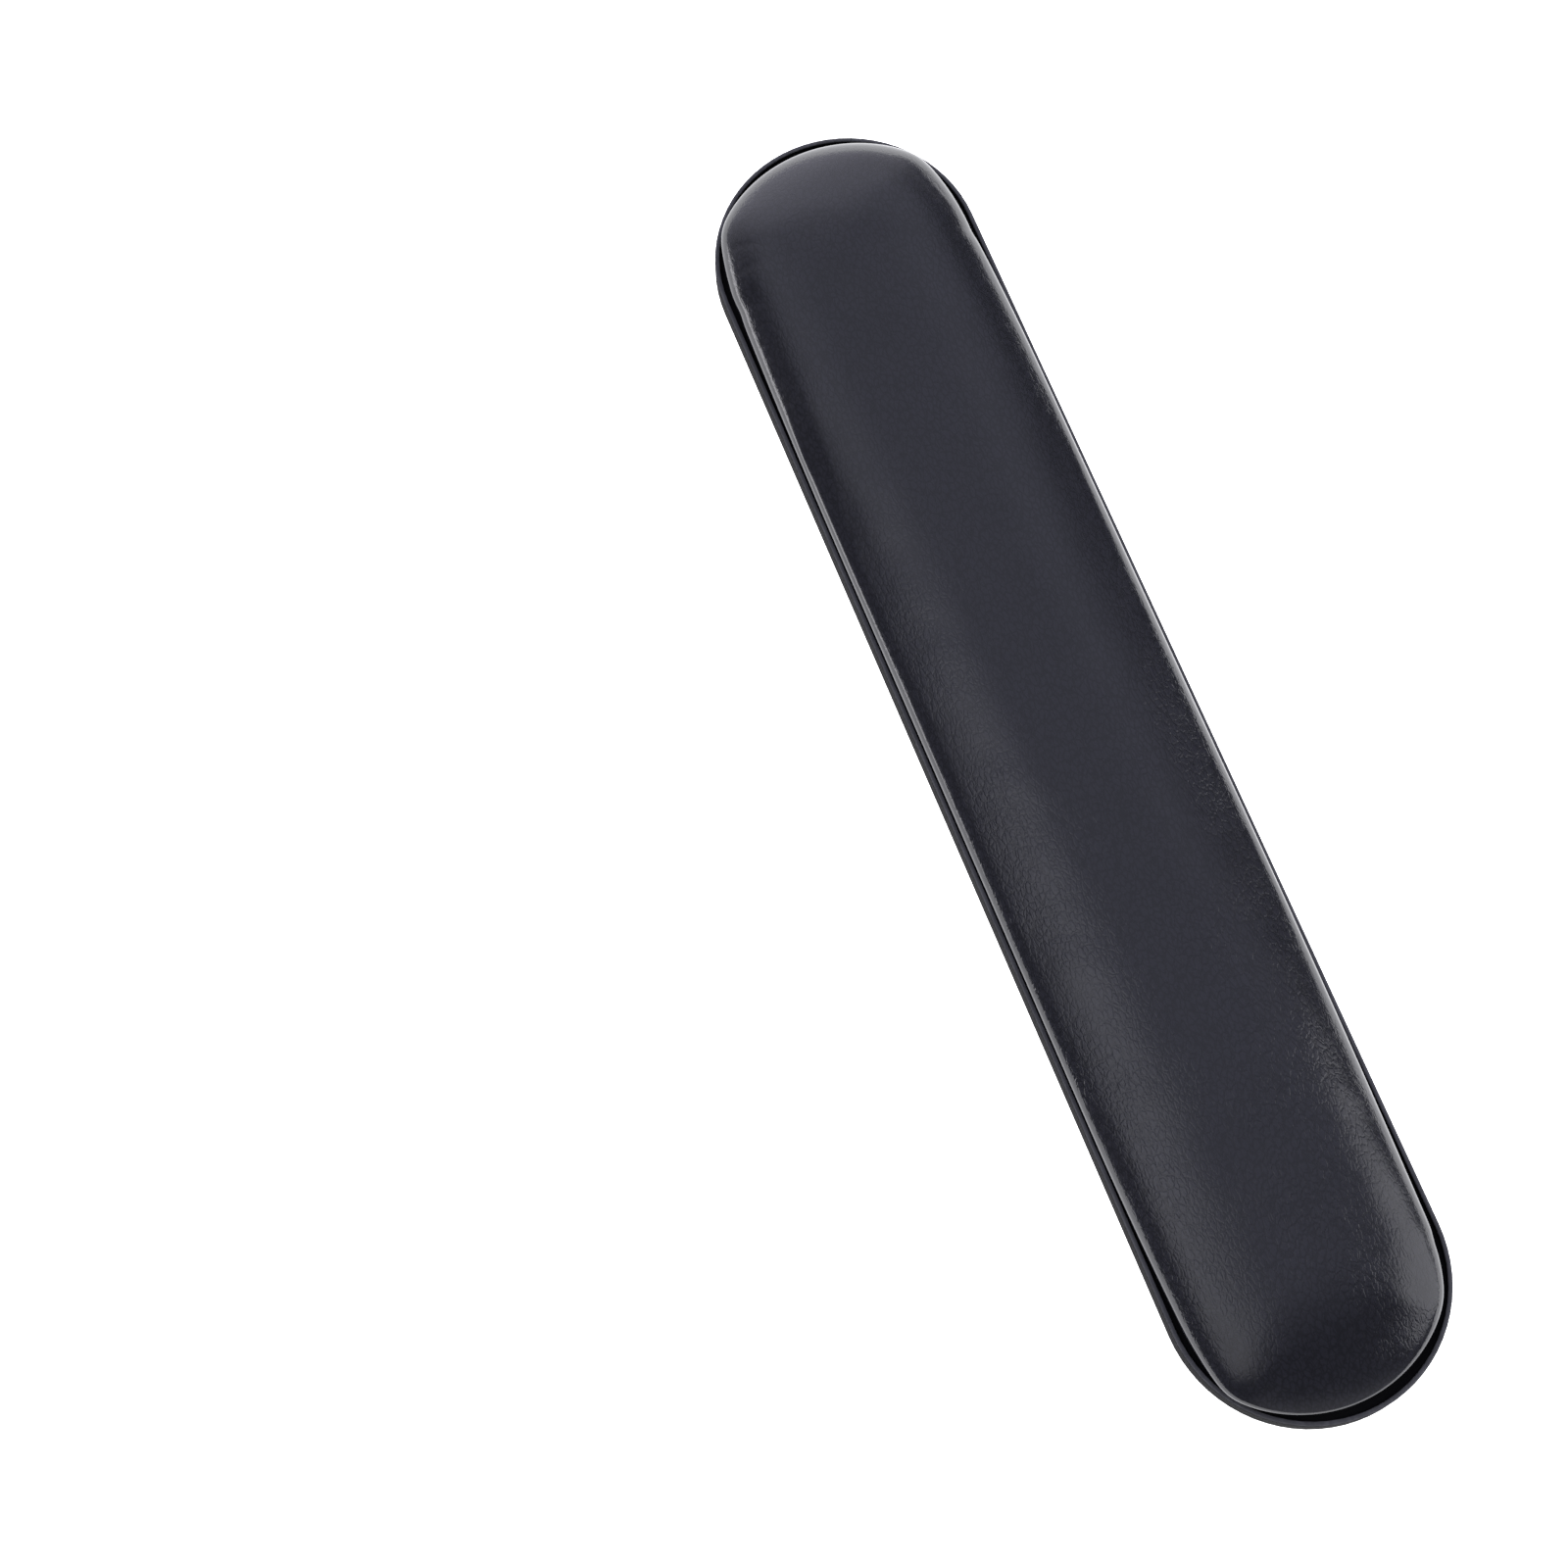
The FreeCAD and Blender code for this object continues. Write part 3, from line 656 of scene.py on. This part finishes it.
def vinyl():
    """Black vinyl with a shallow leather grain: wandering cells drawn out along the pad.

    The relief is the cells' rounded shoulders plus finer wrinkles and pores, and it comes and goes
    over a few centimetres. It is drawn flat down the sides, and is deepest on the near half, where
    a forearm bears on it. Gloss falls a little in the wrinkles.
    """
    skin = Finish("black_vinyl", Specular_IOR_Level=0.5)
    patches = skin.ramp(skin.noise((0.035, 0.05, 0.05), detail=3.0), 0.35, 0.68, 0.35, 1.0)
    borders = skin.cells((0.42, 0.80, 0.80), "DISTANCE_TO_EDGE", warp=1.3)
    grain = skin.ramp(borders, 0.0, 0.22, 0.0, 1.0)
    wrinkles = skin.noise((0.42, 1.1, 1.1), detail=3.0, roughness=0.55, distortion=1.1)
    pores = skin.noise((5.0, 6.5, 6.5), detail=1.0)
    on_top = skin.ramp(skin.along("Z"), BULGE_Z + 0.5, BULGE_Z + 4.5, 0.06, 1.0)
    used = skin.ramp(skin.along("X"), -150.0, 110.0, 0.4, 1.0)
    patches = skin.maths("MULTIPLY", patches, skin.maths("MULTIPLY", on_top, used))
    skin.bump(skin.maths("MULTIPLY", grain, patches), 0.035)
    skin.bump(skin.maths("MULTIPLY", wrinkles, patches), 0.065)
    skin.bump(skin.maths("MULTIPLY", pores, on_top), 0.003)
    mottle = skin.noise((0.06, 0.09, 0.09), detail=4.0, roughness=0.6)
    tone = skin.blend(mottle, shade(0.0175, 0.0175, 0.0215), shade(0.0245, 0.0243, 0.0325))
    # Painted shade: the grain's valleys, where its cells meet, are coloured darker than the cells.
    skin.colour(skin.blend(grain, shade(0.0145, 0.0145, 0.0180), tone))
    gloss = skin.ramp(wrinkles, 0.25, 0.75, 0.19, 0.13)
    skin.rough(skin.maths("MULTIPLY", gloss, skin.ramp(on_top, 0.0, 1.0, 0.55, 1.0)))
    return skin.paint


def moulded_plastic():
    """Black plastic: a spark-textured wall and underside, and a painted highlight along the lip's
    crest, paler in streaks.
    """
    shell = Finish("tray_plastic", Specular_IOR_Level=0.08)
    crest = tray_high.z / MM
    texture = shell.noise((3.2, 3.2, 3.2), detail=3.0, roughness=0.7)
    # Painted highlight mask: a band along the lip's crest, broken into streaks.
    crest_highlight_band = shell.ramp(shell.along("Z"), crest - 0.55, crest - 0.15, 0.0, 1.0)
    streaks = shell.noise((0.10, 0.6, 0.6), detail=3.0, distortion=0.6)
    crest_highlight_streaks = shell.ramp(streaks, 0.40, 0.70, 0.75, 1.0)
    crest_highlight_mask = shell.maths("MULTIPLY", crest_highlight_band, crest_highlight_streaks)
    plain = shell.blend(texture, shade(0.006, 0.006, 0.007), shade(0.010, 0.010, 0.011))
    # Painted highlight: the crest band is coloured paler, standing in for light caught on the lip's
    # rounded edge.
    shell.colour(shell.blend(crest_highlight_mask, plain, shade(0.105, 0.105, 0.115)))
    shell.rough(shell.ramp(crest_highlight_mask, 0.0, 1.0, 0.92, 0.80))
    shell.bump(texture, 0.035)
    return shell.paint


PLY_TURN = 5.0  # how far the tone's wave turns through the board's thickness, in radians
WAVE_TURN = 20.0  # how far a wave texture turns in one unit, in radians


def birch_plywood():
    """Birch plywood: long grain, and a darker tone that comes and goes through its thickness."""
    board = Finish("birch_plywood", Specular_IOR_Level=0.3)
    thickness = (board_high.z - board_low.z) / MM
    plies = board.nodes.new("ShaderNodeTexWave")
    plies.bands_direction = "Z"
    plies.inputs["Scale"].default_value = PLY_TURN / (WAVE_TURN * thickness)
    plies.inputs["Distortion"].default_value = 0.4
    plies.inputs["Detail"].default_value = 1.0
    board.links.new(board.stretched((1.0, 1.0, 1.0)), plies.inputs["Vector"])
    grain = board.noise((0.03, 0.9, 0.9), detail=6.0, roughness=0.65, distortion=0.5)
    face = board.blend(grain, shade(0.42, 0.27, 0.145), shade(0.66, 0.49, 0.31))
    cross_grain = board.ramp(plies.outputs["Fac"], 0.2, 0.8, 0.0, 0.45)
    board.colour(board.blend(cross_grain, face, shade(0.30, 0.18, 0.09)))
    board.rough(board.ramp(grain, 0.2, 0.8, 0.75, 0.55))
    board.bump(grain, 0.06)
    return board.paint


def open_cell_foam():
    """Cream polyurethane foam: small open cells of uneven size, a little yellowed in patches."""
    foam = Finish("cream_foam", Specular_IOR_Level=0.2)
    cell = foam.ramp(foam.cells((1.6, 1.6, 1.6), warp=0.5), 0.05, 0.55, 0.0, 1.0)
    large = foam.ramp(foam.cells((0.55, 0.55, 0.55)), 0.0, 0.4, 0.0, 1.0)
    aged = foam.noise((0.03, 0.05, 0.05), detail=3.0)
    tone = foam.blend(aged, shade(0.74, 0.68, 0.50), shade(0.64, 0.54, 0.33))
    # Painted shade: each cell's hollow is coloured darker than the foam around it.
    foam.colour(foam.blend(cell, shade(0.40, 0.35, 0.22), tone))
    foam.rough(foam.ramp(cell, 0.0, 1.0, 1.0, 0.9))
    foam.bump(cell, 0.25)
    foam.bump(large, 0.15)
    return foam.paint


def plated_steel(name, dull, bright, metal, smoothest, roughest, blotch):
    """Steel under a thin finish: fine drawn scratches, and blotches where the finish is uneven."""
    steel = Finish(name, Metallic=metal)
    scratches = steel.noise((9.0, 1.5, 9.0), detail=3.0)
    blotches = steel.noise((blotch, blotch, blotch), detail=4.0, roughness=0.6)
    steel.colour(steel.blend(blotches, dull, bright))
    steel.rough(steel.ramp(blotches, 0.3, 0.7, roughest, smoothest))
    steel.bump(scratches, 0.006)
    return steel.paint


# ---------------------------------------------------------------- pieces
def make_cover():
    """The vinyl cover: plumped as cloth, refined, creased and tucked, then given its thickness."""
    cover = new_piece("vinyl_cover", *cushion_skin())
    plump(cover)
    refine(cover)
    wave_slowly(cover)
    press_creases(cover)
    draw_tucks(cover)
    wall = cover.modifiers.new("thickness", "SOLIDIFY")
    wall.thickness = SKIN * MM
    wall.offset = -1.0
    cover.data.materials.append(vinyl())
    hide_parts("cover")
    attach(cover, "root")


FOAM_GAP = 0.6  # between the foam and whatever it lies against
FLANGE_ROOM = (11.0, 1.5)  # radius and extra height that the foam leaves over each tee nut
FLANGE_SLOPE = 1.5  # width over which that room closes in
FOAM_SIDE_RINGS = 5  # how many of the cover's side rings the foam follows
FOAM_FOOT_INSET = 0.6  # how far the foam's foot is tucked in


def foam_block():
    """Points and faces of the foam: the cover's form less its skin, hollowed below for the board.

    The upper side is the cushion's own form, moved in along its normals. It turns under outside the
    board's edge, climbs that edge, and closes above the board with the same grid, shrunk to the
    board's outline and turned over.
    """
    points, quads = cushion_skin()
    rows = CELLS_ALONG + 2 * CELLS_IN_END + 1
    columns = CELLS_ACROSS + 1
    count = rows * columns
    form = new_piece("form_of_foam", points, quads)
    normals = np.empty(len(points) * 3)
    form.data.vertex_normals.foreach_get("vector", normals)
    bpy.data.objects.remove(form)
    inner = points - normals.reshape(-1, 3) * (SKIN + FOAM_GAP)
    top = inner[:count]
    loop = edge_loop(rows, columns)
    side = np.split(inner[count:], len(SIDE_RINGS))[:FOAM_SIDE_RINGS]

    x, y, share, radius, _ = plan_grid()
    board_radius = board_high.y / MM + FOAM_GAP
    board_end = board_high.x / MM - board_high.y / MM
    angle = np.arctan2(y, np.maximum(np.abs(x) - END_X, 0.0))
    reach = np.where(np.abs(x) > END_X, share * board_radius, np.abs(y) / radius * board_radius)
    board_x = np.sign(x) * np.where(
        np.abs(x) > END_X, board_end + reach * np.cos(angle), np.abs(x) * board_end / END_X
    )
    board_y = np.where(np.abs(x) > END_X, reach * np.sin(angle), np.sign(y) * reach)
    ceiling = np.full_like(x, board_high.z / MM + FOAM_GAP)
    for nut in ("tee_nut_front", "tee_nut_rear"):
        low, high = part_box(nut)
        away = np.hypot(board_x - (low.x + high.x) / 2 / MM, board_y - (low.y + high.y) / 2 / MM)
        ceiling += FLANGE_ROOM[1] * smooth((FLANGE_ROOM[0] - away) / FLANGE_SLOPE + 0.5)
    over_board = np.column_stack((board_x.ravel(), board_y.ravel(), ceiling.ravel()))
    foot = over_board[loop].copy()
    foot[:, 2] = board_low.z / MM + FOAM_GAP
    outer_foot = side[-1].copy()
    outer_foot[:, 2] = foot[:, 2]
    outer_foot[:, :2] -= outward_of(outer_foot[:, :2]) * FOAM_FOOT_INSET

    faces = [grid_quads(rows, columns)]
    block, last = add_rings(top, faces, loop, [*side, outer_foot, (outer_foot + foot) / 2, foot])
    closing = len(block) + np.arange(len(over_board))
    faces.append(grid_quads(rows, columns)[:, ::-1] + len(block))
    faces.append(band(last, closing[loop]))
    return np.vstack((block, over_board)), np.vstack(faces)


def make_foam():
    """The foam core, out of sight under the cover."""
    foam = new_piece("foam_block", *foam_block())
    foam.data.materials.append(open_cell_foam())
    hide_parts("foam_core")
    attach(foam, "root")


def finish_cad_nodes():
    """The CAD solids that stay in view get their own finishes."""
    zinc = plated_steel(
        "bright_zinc",
        shade(0.52, 0.52, 0.50),
        shade(0.72, 0.73, 0.75),
        metal=1.0,
        smoothest=0.22,
        roughest=0.42,
        blotch=0.5,
    )
    finishes = {
        "base_tray": moulded_plastic(),
        "cushion_board": birch_plywood(),
        "tee_nut_front": zinc,
        "tee_nut_rear": zinc,
        "tray_screws": plated_steel(
            "black_phosphate",
            shade(0.012, 0.012, 0.013),
            shade(0.032, 0.031, 0.030),
            metal=0.6,
            smoothest=0.38,
            roughest=0.62,
            blotch=0.9,
        ),
        "hem_staples": plated_steel(
            "staple_wire",
            shade(0.45, 0.45, 0.44),
            shade(0.62, 0.62, 0.61),
            metal=1.0,
            smoothest=0.30,
            roughest=0.50,
            blotch=0.7,
        ),
    }
    for node, finish in finishes.items():
        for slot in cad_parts[node].material_slots:
            slot.material = finish


place_camera()
set_studio()
lay_floor()
make_cover()
make_foam()
finish_cad_nodes()
